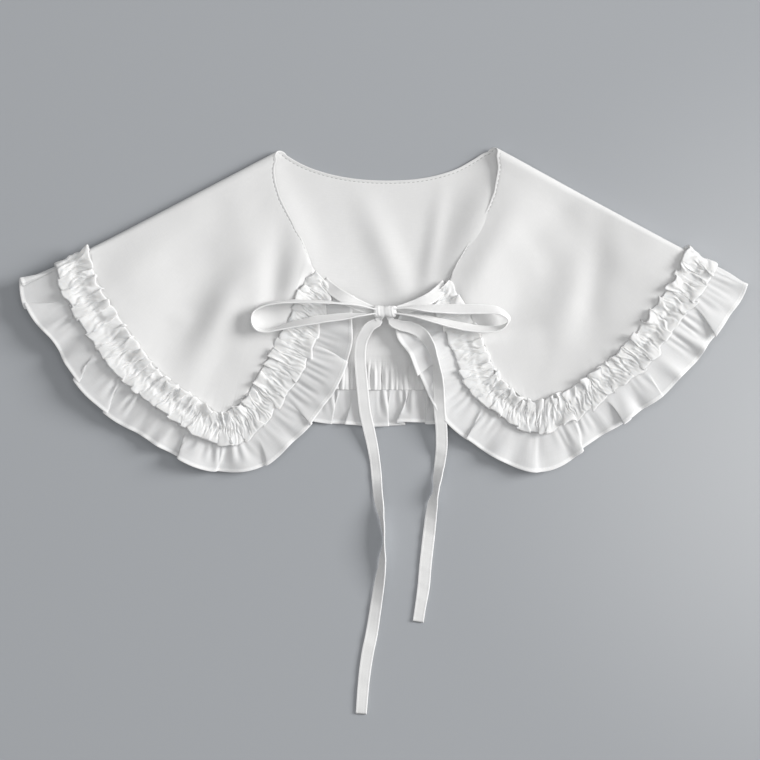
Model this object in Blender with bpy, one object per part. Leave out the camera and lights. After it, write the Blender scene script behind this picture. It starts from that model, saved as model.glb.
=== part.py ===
"""A ruffled false collar lying flat: a cloth panel folded over at both shoulders, with a gathered ruffle
in its edge seam, a ruche sewn along that edge, and two flat ties in a bow. Metres, +Z up."""

import bmesh
import bpy
import numpy as np

# Driving sizes of the panel
HALF_SPAN = 0.2155  # centre line to the edge seam at a shoulder fold
FRONT_DEPTH = 0.1927  # top of the shoulder folds to the lowest point of a front flap
BACK_DEPTH = 0.1577  # the same height to the back's edge seam
NECK_HALF = 0.0726  # half the width of the neck opening
NECK_DROP = 0.0878  # top of the shoulder folds to the neck opening's lowest point
NECK_DIP = 0.0195  # how far the back neck edge curves down in the middle
CLOTH = 0.0012

# Driving sizes of the trims
RUFFLE_REACH = 0.0220
RUFFLE_CLOTH = 0.0010
RUFFLE_PITCH = 0.0170
RUFFLE_WAVE = 0.0017
RUCHE_WIDTH = 0.0231
RUCHE_OVERHANG = 0.0020
RUCHE_CLOTH = 0.0008
RUCHE_PITCH = 0.0115
RUCHE_PLEAT = 0.0026
RUCHE_PLEAT_UNDER = 0.0012  # pressed flatter where the collar lies on it
RUCHE_EDGE_LIFT = 0.0004

# Driving sizes of the ties
TAPE_WIDTH = 0.0078
TAPE_CLOTH = 0.0008
KNOT_SIZE = (0.0150, 0.0078, 0.0074)
KNOT_PLACE = (0.0000, -0.1063, 0.0124)
KNOT_BLUNT = 0.6  # 1 makes the knot an ellipsoid, and less makes it squarer
KNOT_WAIST = 0.12  # share by which it draws in at the middle

# How gathers come closer and wider: share of a turn in radians, rate and start
RUFFLE_DRIFT = ((0.9, 0.37, 0.0), (0.5, 0.23, 1.0))
RUCHE_DRIFT = ((0.6, 0.31, 0.0), (0.4, 0.17, 2.0))
RUFFLE_PRESSED = 0.45  # share of its wave that the ruffle loses under the collar
PLEAT_AT_STITCH = 0.3  # share of its height that a ruche pleat keeps where it is sewn down

# Clearances
SEAM_GAP = 0.0004
FLOOR_GAP = 0.0003
LAYER_GAP = 0.0006

# Heights that follow from the layers lying on each other
UNDER_RUCHE = SEAM_GAP + RUCHE_CLOTH + RUCHE_EDGE_LIFT + RUCHE_PLEAT_UNDER + FLOOR_GAP
BACK_LEVEL = CLOTH / 2
BACK_EDGE_LEVEL = BACK_LEVEL + UNDER_RUCHE
FRONT_LEVEL = BACK_EDGE_LEVEL + CLOTH + LAYER_GAP
HEM_LEVEL = RUFFLE_WAVE + RUFFLE_CLOTH / 2 + FLOOR_GAP

# Front flaps, from the neck end to the shoulder fold. neck_x in NECK_HALF and neck_y in NECK_DROP,
# seam_x in HALF_SPAN and seam_y in FRONT_DEPTH, band_x and band_y from the seam to the ruche's inner
# edge in RUCHE_WIDTH, and reach in RUFFLE_REACH.
FLAP_COLUMNS = ("neck_x", "neck_y", "seam_x", "seam_y", "band_x", "band_y", "reach")
LEFT_FLAP = (
    (-0.673, 0.857, -0.159, 0.469, -0.51, 0.49, 0.72),
    (-0.700, 0.789, -0.181, 0.531, -0.74, 0.51, 0.85),
    (-0.727, 0.729, -0.205, 0.613, -0.80, 0.37, 1.10),
    (-0.764, 0.654, -0.227, 0.688, -0.91, 0.40, 1.15),
    (-0.809, 0.594, -0.263, 0.767, -0.89, 0.51, 1.15),
    (-0.845, 0.526, -0.325, 0.866, -0.71, 0.63, 1.15),
    (-0.882, 0.466, -0.377, 0.938, -0.54, 0.71, 1.05),
    (-0.909, 0.421, -0.423, 0.983, -0.40, 0.86, 0.93),
    (-0.936, 0.376, -0.469, 1.000, -0.11, 0.89, 0.88),
    (-0.959, 0.331, -0.530, 0.990, 0.20, 0.77, 0.88),
    (-0.973, 0.286, -0.597, 0.950, 0.43, 0.73, 0.92),
    (-0.986, 0.248, -0.668, 0.894, 0.57, 0.60, 1.00),
    (-0.995, 0.207, -0.753, 0.822, 0.69, 0.54, 1.10),
    (-1.000, 0.165, -0.821, 0.753, 0.80, 0.54, 1.15),
    (-1.000, 0.135, -0.879, 0.664, 0.89, 0.49, 1.12),
    (-0.995, 0.109, -0.940, 0.558, 0.91, 0.43, 1.15),
    (-0.977, 0.083, -0.980, 0.469, 0.91, 0.37, 1.28),
    (-0.941, 0.058, -0.992, 0.408, 0.91, 0.46, 1.28),
)
RIGHT_FLAP = (
    (0.609, 0.917, 0.141, 0.497, 0.51, 0.46, 1.00),
    (0.636, 0.872, 0.165, 0.565, 0.69, 0.37, 1.36),
    (0.664, 0.827, 0.196, 0.647, 0.83, 0.29, 1.30),
    (0.700, 0.774, 0.221, 0.712, 0.80, 0.29, 1.28),
    (0.736, 0.722, 0.248, 0.791, 0.80, 0.37, 1.20),
    (0.782, 0.658, 0.294, 0.856, 0.63, 0.54, 1.16),
    (0.827, 0.590, 0.349, 0.897, 0.43, 0.63, 1.24),
    (0.873, 0.523, 0.407, 0.942, 0.23, 0.74, 1.17),
    (0.909, 0.462, 0.475, 0.962, 0.03, 0.91, 1.17),
    (0.941, 0.406, 0.536, 0.935, -0.14, 0.83, 1.05),
    (0.964, 0.357, 0.609, 0.894, -0.31, 0.74, 0.92),
    (0.986, 0.308, 0.689, 0.822, -0.51, 0.60, 1.00),
    (1.005, 0.263, 0.775, 0.753, -0.69, 0.51, 1.05),
    (1.018, 0.218, 0.827, 0.685, -0.74, 0.40, 1.12),
    (1.027, 0.169, 0.888, 0.586, -0.66, 0.46, 1.20),
    (1.032, 0.120, 0.943, 0.510, -0.74, 0.43, 1.12),
    (1.023, 0.079, 0.977, 0.452, -0.80, 0.40, 1.22),
    (1.002, 0.048, 0.995, 0.408, -0.83, 0.44, 1.22),
)

# The back, from the left shoulder fold to the right. neck_y is in NECK_DIP and seam_y in BACK_DEPTH, and
# the first and last rows take their places from the flaps.
BACK_COLUMNS = ("neck_x", "neck_y", "seam_x", "seam_y", "reach")
BACK = (
    (-0.864, 0.373, -0.904, 0.661, 1.10),
    (-0.764, 0.508, -0.763, 0.803, 1.00),
    (-0.618, 0.678, -0.567, 0.904, 1.00),
    (-0.427, 0.847, -0.352, 0.967, 1.00),
    (-0.209, 0.966, -0.168, 0.996, 1.05),
    (0.018, 1.000, 0.006, 1.000, 1.05),
    (0.245, 0.966, 0.181, 0.996, 1.02),
    (0.445, 0.847, 0.368, 0.967, 1.00),
    (0.636, 0.627, 0.582, 0.904, 1.00),
    (0.791, 0.407, 0.775, 0.803, 1.00),
    (0.909, 0.271, 0.916, 0.661, 1.10),
)

# Heights along a flap in FRONT_LEVEL, with along running from 0 at the neck end to 1 at the fold. The
# flap lies on the back's raised edge, comes down past it at the corner, and rises to the fold. The hem's
# height is over HEM_LEVEL.
HEIGHT_COLUMNS = ("along", "neck", "inner", "seam", "hem")
FLAP_HEIGHTS = (
    (0.00, 1.02, 1.06, 1.12, 0.95),
    (0.18, 1.00, 1.02, 1.10, 0.95),
    (0.30, 1.00, 1.01, 0.98, 0.45),
    (0.42, 1.00, 1.00, 0.72, 0.04),
    (0.58, 1.00, 1.00, 0.70, 0.00),
    (0.76, 1.02, 1.02, 0.95, 0.12),
    (0.88, 1.03, 1.18, 1.30, 0.52),
    (1.00, 1.05, 1.36, 1.48, 0.80),
)

# Soft valleys pressed into the flaps: middle in HALF_SPAN and FRONT_DEPTH, half length and half width in
# FRONT_DEPTH, turn in degrees from +X, and depth in FRONT_LEVEL.
VALLEY_COLUMNS = ("x", "y", "length", "width", "turn", "depth")
VALLEYS = (
    (-0.570, 0.600, 0.24, 0.085, -58, 0.22),
    (-0.515, 0.815, 0.09, 0.040, -75, 0.10),
    (-0.320, 0.380, 0.14, 0.050, -60, 0.20),
    (-0.800, 0.520, 0.12, 0.050, -30, 0.12),
    (0.690, 0.440, 0.20, 0.060, 62, 0.22),
    (0.465, 0.500, 0.15, 0.060, 68, 0.16),
    (0.460, 0.740, 0.09, 0.040, 80, 0.10),
    (0.640, 0.220, 0.12, 0.060, 20, 0.14),
)

# Rows of points across each piece, as shares of its width, the ruche's with its pleats' lag in radians
PANEL_ROWS = (0.0, 0.3, 0.6, 0.84, 1.0)
BAND_ROWS = (0.5, 1.0)
RUFFLE_ROWS = (0.0, 0.5, 1.0)
RUCHE_ROWS = ((0.0, 0.0), (0.5, 0.5), (1.0, 1.1))

# How many stretches each section is cut into: flap, shoulder fold, back, fold, flap
PANEL_STEPS = (26, 6, 24, 6, 26)
RUFFLE_STEPS = (84, 8, 84, 8, 84)
RUCHE_STEPS = (118, 8, 100, 8, 118)

# The ties' routes, from the top of the shoulder folds and the centre line: x, y, z in millimetres, tilt of
# the tape out of the level in degrees, and its width as a share of TAPE_WIDTH
ROUTE_COLUMNS = ("x", "y", "z", "tilt", "width")
LEFT_LEAD = (
    (-32.0, -93.6, 11.9, 0, 0.90),
    (-26.0, -97.6, 11.6, -4, 1.00),
    (-17.8, -101.9, 11.3, -8, 0.95),
    (-7.8, -105.5, 10.9, 0, 0.75),
)
LEFT_LOOP = (
    (-7.7, -104.5, 14.2, 90, 0.50),
    (-17.0, -102.4, 15.4, 88, 0.66),
    (-26.4, -101.3, 16.2, 84, 0.84),
    (-45.5, -100.0, 16.4, 78, 0.96),
    (-62.7, -99.9, 15.6, 76, 1.00),
    (-77.2, -101.6, 14.4, 78, 1.00),
    (-85.8, -106.2, 13.4, 84, 1.00),
    (-87.6, -112.4, 13.0, 90, 1.00),
    (-84.0, -118.0, 13.0, 96, 1.00),
    (-76.0, -119.0, 13.2, 100, 1.00),
    (-62.7, -115.2, 14.4, 100, 1.00),
    (-45.5, -110.8, 15.6, 98, 0.96),
    (-26.4, -108.9, 16.0, 94, 0.84),
    (-17.0, -108.4, 15.4, 92, 0.66),
    (-7.7, -107.8, 14.2, 90, 0.50),
)
LEFT_TAIL = (
    (-4.2, -111.2, 12.2, 0, 0.55),
    (-4.6, -113.2, 12.0, 0, 0.70),
    (-9.8, -116.0, 11.5, 0, 0.88),
    (-13.2, -120.8, 10.8, 0, 0.97),
    (-15.8, -127.0, 9.6, 0, 1.00),
    (-16.5, -136.0, 8.2, 0, 1.00),
    (-15.6, -149.0, 7.2, 0, 1.00),
    (-14.4, -161.0, 6.8, 0, 1.00),
    (-13.2, -172.0, 6.0, 0, 1.00),
    (-10.8, -182.8, 4.2, 0, 1.00),
    (-8.4, -194.0, 2.2, 0, 0.95),
    (-6.6, -205.0, 1.1, 8, 0.90),
    (-5.6, -214.5, 1.1, 10, 0.90),
    (-4.6, -227.0, 2.1, 24, 0.90),
    (-2.5, -239.3, 3.7, 58, 0.92),
    (-0.6, -254.1, 4.4, 88, 1.00),
    (-1.2, -265.3, 4.2, 70, 1.00),
    (-2.3, -276.5, 3.4, 46, 1.00),
    (-4.3, -289.1, 2.3, 24, 1.00),
    (-6.3, -302.3, 1.4, 10, 1.00),
    (-8.9, -318.8, 0.8, 0, 1.05),
    (-11.6, -332.0, 0.8, 0, 1.05),
    (-13.9, -348.5, 0.8, 0, 1.00),
    (-15.8, -371.6, 0.8, 0, 0.95),
)
RIGHT_LEAD = (
    (31.4, -96.6, 11.2, 0, 0.95),
    (24.4, -100.3, 11.4, 8, 1.00),
    (16.5, -103.4, 11.2, 8, 0.95),
    (7.8, -105.5, 10.9, 0, 0.75),
)
RIGHT_LOOP = (
    (7.7, -104.5, 14.2, 90, 0.50),
    (16.5, -103.8, 15.2, 72, 0.66),
    (27.7, -104.3, 15.8, 54, 0.90),
    (46.2, -104.8, 14.8, 42, 1.00),
    (62.7, -104.8, 14.4, 44, 1.00),
    (74.5, -106.0, 14.0, 56, 1.00),
    (81.2, -111.6, 13.4, 78, 1.00),
    (75.5, -117.0, 13.4, 112, 1.00),
    (62.7, -117.8, 13.8, 126, 1.00),
    (46.2, -115.2, 14.4, 128, 1.00),
    (28.4, -111.0, 15.4, 118, 0.90),
    (16.5, -108.6, 15.2, 104, 0.66),
    (7.7, -107.8, 14.2, 90, 0.50),
)
RIGHT_TAIL = (
    (4.0, -111.4, 12.2, 0, 0.50),
    (4.9, -113.4, 12.0, 0, 0.72),
    (11.0, -115.6, 11.7, 0, 0.90),
    (16.8, -116.6, 11.4, 0, 1.00),
    (24.0, -120.6, 11.6, 12, 1.00),
    (29.8, -128.6, 12.4, 45, 1.00),
    (33.2, -138.5, 12.8, 62, 1.00),
    (34.8, -149.0, 11.6, 38, 1.00),
    (35.3, -160.0, 10.6, 16, 1.00),
    (35.8, -171.0, 9.4, 4, 1.00),
    (37.0, -182.8, 6.6, 0, 1.00),
    (37.3, -194.7, 3.6, 0, 1.00),
    (36.3, -204.6, 1.8, 14, 0.95),
    (34.8, -214.5, 3.1, 40, 0.95),
    (33.5, -225.1, 3.9, 62, 0.95),
    (31.2, -234.3, 2.7, 28, 1.00),
    (28.7, -255.4, 1.0, 0, 1.05),
    (26.7, -273.2, 0.8, 0, 1.05),
    (25.4, -287.8, 0.8, 0, 1.05),
    (23.1, -302.3, 0.8, 0, 0.95),
    (21.8, -310.9, 0.8, 0, 0.95),
)
TAPE_STEP = 0.0052  # length of tape to a cross-section

# Looks
WHITE = (0.90, 0.90, 0.89)
SHEER_WHITE = (0.88, 0.89, 0.91)
WARM_WHITE = (0.90, 0.89, 0.87)
MATTE = 0.85


def unit(vectors):
    return vectors / np.linalg.norm(vectors, axis=-1, keepdims=True)


def smooth_rows(rows, places):
    """Values between the rows of a table, on a curve that passes through each of them."""
    rows = np.asarray(rows, float)
    padded = np.vstack([2 * rows[0] - rows[1], rows, 2 * rows[-1] - rows[-2]])
    start = np.minimum(places.astype(int), len(rows) - 2)
    t = (places - start)[:, None]
    before, here, after, beyond = (padded[start + k] for k in range(4))
    return 0.5 * (
        2 * here
        + (after - before) * t
        + (2 * before - 5 * here + 4 * after - beyond) * t**2
        + (3 * here - before - 3 * after + beyond) * t**3
    )


def with_height(x, y, z):
    return np.stack(np.broadcast_arrays(x, y, z), axis=-1)


def flap_section(table, steps):
    """The flap's lines from its neck end to the fold, with the ruffle's reach beside them."""
    places = np.linspace(0, len(table) - 1, steps + 1)
    row = dict(zip(FLAP_COLUMNS, smooth_rows(table, places).T))
    heights = np.asarray(FLAP_HEIGHTS)
    along = places / (len(table) - 1)
    level = {
        name: np.interp(along, heights[:, 0], heights[:, k]) * FRONT_LEVEL
        for k, name in enumerate(HEIGHT_COLUMNS)
    }
    seam_x = row["seam_x"] * HALF_SPAN
    seam_y = -row["seam_y"] * FRONT_DEPTH
    return {
        "neck": with_height(row["neck_x"] * NECK_HALF, -row["neck_y"] * NECK_DROP, level["neck"]),
        "inner": with_height(
            seam_x + row["band_x"] * RUCHE_WIDTH, seam_y + row["band_y"] * RUCHE_WIDTH, level["inner"]
        ),
        "seam": with_height(seam_x, seam_y, level["seam"]),
        "hem_level": HEM_LEVEL + level["hem"],
        "reach": row["reach"] * RUFFLE_REACH,
        "under": np.zeros(steps + 1),
    }


def back_section(left, right, steps):
    """The back's lines, which start and end under the flaps' last stations."""
    table = [(x, y * NECK_DIP, sx, sy * BACK_DEPTH, reach) for x, y, sx, sy, reach in BACK]
    ends = [
        (s["neck"][-1, 0] / NECK_HALF, -s["neck"][-1, 1], s["seam"][-1, 0] / HALF_SPAN,
         -s["seam"][-1, 1], s["reach"][-1] / RUFFLE_REACH)
        for s in (left, right)
    ]
    table = [ends[0], *table, ends[1]]
    places = np.linspace(0, len(table) - 1, steps + 1)
    row = dict(zip(BACK_COLUMNS, smooth_rows(table, places).T))
    neck = with_height(row["neck_x"] * NECK_HALF, -row["neck_y"], BACK_LEVEL)
    seam = with_height(row["seam_x"] * HALF_SPAN, -row["seam_y"], BACK_EDGE_LEVEL)
    along = unit(np.gradient(seam, axis=0))
    inward = np.stack([-along[:, 1], along[:, 0], np.zeros(len(seam))], axis=1)
    from_end = np.minimum(places, places[::-1]).clip(0, 1)[:, None]
    bands = [(s["inner"][-1] - s["seam"][-1]) * (1, 1, 0) for s in (left, right)]
    flap_band = np.where(places[:, None] < places.mean(), *bands)
    inner = seam + flap_band * (1 - from_end) + inward * RUCHE_WIDTH * from_end
    return {
        "neck": neck,
        "inner": inner,
        "seam": seam,
        "hem_level": np.full(steps + 1, HEM_LEVEL),
        "reach": row["reach"] * RUFFLE_REACH,
        "under": np.ones(steps + 1),
    }


def fold_section(top, under, steps):
    """The cloth rolling over a shoulder fold, from a flap's last station round to the back."""
    turn = np.linspace(0, np.pi, steps + 1)
    line = unit((top["seam"] - top["neck"])[:2])
    outward = np.array([-line[1], line[0]]) * np.sign(line[0])
    section = {}
    for name in ("neck", "inner", "seam"):
        radius = (top[name][2] - under[name][2]) / 2
        middle = (top[name] + under[name]) / 2
        beyond = (radius * np.sin(turn))[:, None] * outward
        height = middle[2] + radius * np.cos(turn)
        section[name] = with_height(middle[0] + beyond[:, 0], middle[1] + beyond[:, 1], height)
    share = (1 - np.cos(turn)) / 2
    for name in ("hem_level", "reach", "under"):
        section[name] = top[name] * (1 - share) + under[name] * share
    return section


def one_station(section, index):
    return {name: values[index] for name, values in section.items()}


def turned_round(section):
    return {name: values[::-1] for name, values in section.items()}


def collar_lines(steps):
    """The neck edge, the ruche's inner line and the edge seam, from the left neck end round to the right."""
    left = flap_section(LEFT_FLAP, steps[0])
    right = flap_section(RIGHT_FLAP, steps[4])
    back = back_section(left, right, steps[2])
    left_fold = fold_section(one_station(left, -1), one_station(back, 0), steps[1])
    right_fold = fold_section(one_station(right, -1), one_station(back, -1), steps[3])
    sections = (left, left_fold, back, turned_round(right_fold), turned_round(right))
    return {
        name: np.concatenate([s[name] if k == 0 else s[name][1:] for k, s in enumerate(sections)])
        for name in left
    }


def seam_frame(lines):
    """Directions at the seam: outer face, away from the panel, and the distance run so far."""
    seam = lines["seam"]
    along = unit(np.gradient(seam, axis=0))
    face = unit(np.cross(along, seam - lines["inner"]))
    away = unit(np.cross(face, along))
    run = np.concatenate([[0], np.cumsum(np.linalg.norm(np.diff(seam, axis=0), axis=1))])
    return face, away, run


def pressed(points, flap_share):
    """The flaps' soft valleys, as a height to take off."""
    total = np.zeros(points.shape[:-1])
    for row in VALLEYS:
        fold = dict(zip(VALLEY_COLUMNS, row))
        dx = points[..., 0] - fold["x"] * HALF_SPAN
        dy = points[..., 1] + fold["y"] * FRONT_DEPTH
        turn = np.radians(fold["turn"])
        lengthwise = (dx * np.cos(turn) + dy * np.sin(turn)) / (fold["length"] * FRONT_DEPTH)
        across = (-dx * np.sin(turn) + dy * np.cos(turn)) / (fold["width"] * FRONT_DEPTH)
        total += fold["depth"] * FRONT_LEVEL * np.exp(-(lengthwise**2) - across**2)
    return total * flap_share


def panel_grid(lines):
    """Rows of points from the neck edge to the ruche's inner line, then across the band to the seam."""
    neck, inner, seam = lines["neck"], lines["inner"], lines["seam"]
    under = lines["under"][:, None]
    rows = []
    for v in PANEL_ROWS:
        flat = neck * (1 - v) + inner * v
        level = neck[:, 2:] * (1 - v) + inner[:, 2:] * v
        lying = neck[:, 2:] if v < 1 else inner[:, 2:]
        height = level * (1 - under) + lying * under
        row = np.concatenate([flat[:, :2], height], axis=1)
        edge = np.sin(np.pi * v) if v < 1 else 0.0
        row[:, 2] -= pressed(row, (1 - under[:, 0]) * edge)
        rows.append(row)
    rows += [inner * (1 - q) + seam * q for q in BAND_ROWS]
    return np.stack(rows, axis=1)


def sheet_object(name, grid, thickness, colour):
    """A grid of points made into a cloth wall of the given thickness about them."""
    count, width = grid.shape[:2]
    shape = bmesh.new()
    points = [[shape.verts.new(p) for p in row] for row in grid]
    for i in range(count - 1):
        for j in range(width - 1):
            shape.faces.new((points[i][j], points[i + 1][j], points[i + 1][j + 1], points[i][j + 1]))
    return finish_object(name, shape, colour, thickness)


def finish_object(name, shape, colour, thickness=0.0):
    mesh = bpy.data.meshes.new(name)
    shape.to_mesh(mesh)
    shape.free()
    mesh.shade_smooth()
    part = bpy.data.objects.new(name, mesh)
    bpy.context.scene.collection.objects.link(part)
    if thickness:
        wall = part.modifiers.new("Cloth", "SOLIDIFY")
        wall.thickness = thickness
        wall.offset = 0
    material = bpy.data.materials.new(name)
    material.use_nodes = True
    surface = material.node_tree.nodes["Principled BSDF"]
    surface.inputs["Base Color"].default_value = (*colour, 1)
    surface.inputs["Roughness"].default_value = MATTE
    mesh.materials.append(material)
    return part


def uneven_phase(run, pitch, drift):
    """A phase that gains about a turn each pitch, sooner here and later there as hand gathering does."""
    phase = 2 * np.pi * run / pitch
    return phase + sum(share * np.sin(phase * rate + start) for share, rate, start in drift)


def ruffle_grid():
    """Waves that open out from the seam to the hem."""
    lines = collar_lines(RUFFLE_STEPS)
    face, away, run = seam_frame(lines)
    phase = uneven_phase(run, RUFFLE_PITCH, RUFFLE_DRIFT)
    wave = np.sin(phase) * RUFFLE_WAVE * (1 - RUFFLE_PRESSED * lines["under"])
    rows = []
    for w in RUFFLE_ROWS:
        row = lines["seam"] + away * (SEAM_GAP + w * (lines["reach"] - SEAM_GAP))[:, None]
        row[:, 2] = lines["seam"][:, 2] * (1 - w) + lines["hem_level"] * w
        rows.append(row + face * (wave * w)[:, None])
    return np.stack(rows, axis=1)


def ruche_grid():
    """Gathers that stand up at both edges of the band and are held down along its middle."""
    lines = collar_lines(RUCHE_STEPS)
    face, away, run = seam_frame(lines)
    phase = uneven_phase(run, RUCHE_PITCH, RUCHE_DRIFT)
    tall = RUCHE_PLEAT * (1 - lines["under"]) + RUCHE_PLEAT_UNDER * lines["under"]
    seat = CLOTH / 2 + SEAM_GAP + RUCHE_CLOTH / 2
    width = np.linalg.norm(lines["seam"] - lines["inner"], axis=1)
    outer = 1 + RUCHE_OVERHANG / width
    rows = []
    for q, lag in RUCHE_ROWS:
        share = (q * outer)[:, None]
        edge = abs(2 * q - 1)
        share_of_height = PLEAT_AT_STITCH + (1 - PLEAT_AT_STITCH) * edge
        pleat = tall * share_of_height * (0.5 - 0.5 * np.cos(phase + lag))
        row = lines["inner"] * (1 - share) + lines["seam"] * share
        rows.append(row + face * (seat + RUCHE_EDGE_LIFT * edge + pleat)[:, None])
    return np.stack(rows, axis=1)


def tape(name, route, shift):
    """A flat tape laid along its route, turned about it by the tilts."""
    table = np.asarray(route, float)
    table[:, :3] /= 1000
    fine = smooth_rows(table, np.linspace(0, len(table) - 1, 400))
    run = np.concatenate([[0], np.cumsum(np.linalg.norm(np.diff(fine[:, :3], axis=0), axis=1))])
    steps = max(4, round(run[-1] / TAPE_STEP))
    at = np.linspace(0, run[-1], steps + 1)
    row = {name: np.interp(at, run, column) for name, column in zip(ROUTE_COLUMNS, fine.T)}
    line = np.stack([row["x"], row["y"], row["z"]], axis=1)
    along = unit(np.gradient(line, axis=0))
    level = unit(np.cross((0, 0, 1), along))
    upright = np.cross(along, level)
    turn = np.radians(row["tilt"])[:, None]
    side = level * np.cos(turn) + upright * np.sin(turn)
    half = (row["width"] * TAPE_WIDTH / 2)[:, None]
    grid = np.stack([line - side * half, line + side * half], axis=1)
    return sheet_object(name, grid + shift, TAPE_CLOTH, WHITE)


def make_knot(shift):
    """The tape wound round the middle of the bow, a soft block with a waist between its turns."""
    shape = bmesh.new()
    bmesh.ops.create_uvsphere(shape, u_segments=16, v_segments=10, radius=1.0)
    size = np.asarray(KNOT_SIZE) / 2
    for vert in shape.verts:
        way = np.asarray(vert.co)
        squared = np.sign(way) * np.abs(way) ** KNOT_BLUNT
        waist = 1 - KNOT_WAIST * np.cos(np.pi * min(abs(squared[0]), 0.5)) ** 2
        vert.co = squared * size * (1, waist, waist) + np.asarray(KNOT_PLACE) + shift
    return finish_object("tie_knot", shape, WHITE)


def collar_middle(grids):
    """The middle of the collar's own outline, which becomes the origin."""
    points = np.concatenate([grid.reshape(-1, 3) for grid in grids])
    return (points.min(axis=0) + points.max(axis=0)) / 2


def build():
    for old in list(bpy.data.objects):
        bpy.data.objects.remove(old, do_unlink=True)
    panel = panel_grid(collar_lines(PANEL_STEPS))
    ruffle = ruffle_grid()
    ruche = ruche_grid()
    shift = -collar_middle((panel, ruffle, ruche)) * (1, 1, 0)
    sheet_object("collar_panel", panel + shift, CLOTH, WHITE)
    sheet_object("outer_ruffle", ruffle + shift, RUFFLE_CLOTH, SHEER_WHITE)
    sheet_object("ruche", ruche + shift, RUCHE_CLOTH, WARM_WHITE)
    for side, lead, loop, tail in (
        ("left", LEFT_LEAD, LEFT_LOOP, LEFT_TAIL),
        ("right", RIGHT_LEAD, RIGHT_LOOP, RIGHT_TAIL),
    ):
        tape(f"{side}_tie_lead", lead, shift)
        tape(f"{side}_tie_loop", loop, shift)
        tape(f"{side}_tie_tail", tail, shift)
    make_knot(shift)


build()
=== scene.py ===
import bpy
import numpy as np
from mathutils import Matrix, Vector


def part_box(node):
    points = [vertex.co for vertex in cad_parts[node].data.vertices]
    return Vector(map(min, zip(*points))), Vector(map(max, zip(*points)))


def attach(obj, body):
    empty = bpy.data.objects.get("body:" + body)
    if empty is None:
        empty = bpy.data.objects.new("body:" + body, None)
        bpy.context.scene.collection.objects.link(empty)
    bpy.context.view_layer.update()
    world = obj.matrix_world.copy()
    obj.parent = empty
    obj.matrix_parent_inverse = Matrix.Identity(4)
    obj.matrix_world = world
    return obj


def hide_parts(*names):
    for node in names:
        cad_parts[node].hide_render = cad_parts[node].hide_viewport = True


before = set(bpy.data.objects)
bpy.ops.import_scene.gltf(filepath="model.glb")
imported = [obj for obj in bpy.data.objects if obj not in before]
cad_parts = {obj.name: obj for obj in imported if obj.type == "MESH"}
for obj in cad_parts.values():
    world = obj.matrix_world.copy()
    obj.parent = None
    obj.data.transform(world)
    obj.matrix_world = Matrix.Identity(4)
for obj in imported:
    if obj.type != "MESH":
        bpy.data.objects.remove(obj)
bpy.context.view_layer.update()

# Sizes of the collar in metres, as it is cut and sewn
HALF_SPAN = 0.2155
FRONT_DEPTH = 0.1927
BACK_DEPTH = 0.1577
NECK_HALF = 0.0726
NECK_DROP = 0.0878
NECK_DIP = 0.0195
RUFFLE_REACH = 0.0220
RUCHE_WIDTH = 0.0231
RUCHE_OVERHANG = 0.0014
TAPE_WIDTH = 0.0078
KNOT_SIZE = (0.0150, 0.0080, 0.0076)
KNOT_PLACE = (0.0000, -0.1063, 0.0124)

# Thickness of each cloth, and of the folds at its edges
PANEL_CLOTH = 0.0010
RUFFLE_CLOTH = 0.00045
HEM_CLOTH = 0.0009
HEM_WIDTH = 0.0021
RUCHE_CLOTH = 0.00045
TAPE_CLOTH = 0.0010

# Levels of the layers over the floor
BACK_LEVEL = 0.0009
UNDER_RUCHE = 0.0031
BACK_EDGE_LEVEL = BACK_LEVEL + UNDER_RUCHE
FRONT_LEVEL = BACK_EDGE_LEVEL + 0.0018
BACK_HEM_LEVEL = 0.0021
FRONT_HEM_LEVEL = 0.0050
CLEAR_OF_BACK = 0.0066
CLEAR_OF_FLOOR = 0.0026
LOWEST_CLOTH = 0.0007
NECK_CORNER_BULGE = 0.0016
FLOOR_GAP = 0.0002

# Front flaps, from the neck end to the shoulder fold. neck_x in NECK_HALF and neck_y in NECK_DROP,
# seam_x in HALF_SPAN and seam_y in FRONT_DEPTH, band_x and band_y from the seam to the ruche's inner
# edge in RUCHE_WIDTH, and reach in RUFFLE_REACH.
FLAP_COLUMNS = ("neck_x", "neck_y", "seam_x", "seam_y", "band_x", "band_y", "reach")
LEFT_FLAP = (
    (-0.673, 0.857, -0.159, 0.469, -0.51, 0.49, 0.72),
    (-0.7, 0.789, -0.181, 0.531, -0.74, 0.51, 0.85),
    (-0.727, 0.729, -0.205, 0.613, -0.8, 0.37, 1.1),
    (-0.764, 0.654, -0.227, 0.688, -0.91, 0.4, 1.15),
    (-0.809, 0.594, -0.263, 0.767, -0.89, 0.51, 1.15),
    (-0.845, 0.526, -0.325, 0.866, -0.71, 0.63, 1.15),
    (-0.882, 0.466, -0.377, 0.938, -0.54, 0.71, 1.05),
    (-0.909, 0.421, -0.423, 0.983, -0.4, 0.86, 0.93),
    (-0.936, 0.376, -0.469, 1, -0.11, 0.89, 0.88),
    (-0.959, 0.331, -0.53, 0.99, 0.2, 0.77, 0.88),
    (-0.973, 0.286, -0.597, 0.95, 0.43, 0.73, 0.92),
    (-0.986, 0.248, -0.668, 0.894, 0.57, 0.6, 1),
    (-0.995, 0.207, -0.753, 0.822, 0.69, 0.54, 1.1),
    (-1, 0.165, -0.821, 0.753, 0.8, 0.54, 1.15),
    (-1, 0.135, -0.879, 0.664, 0.89, 0.49, 1.12),
    (-0.995, 0.109, -0.94, 0.558, 0.91, 0.43, 1.15),
    (-0.985, 0.088, -0.98, 0.469, 0.91, 0.37, 1.28),
    (-0.978, 0.067, -0.992, 0.408, 0.91, 0.46, 1.16),
)
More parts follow.
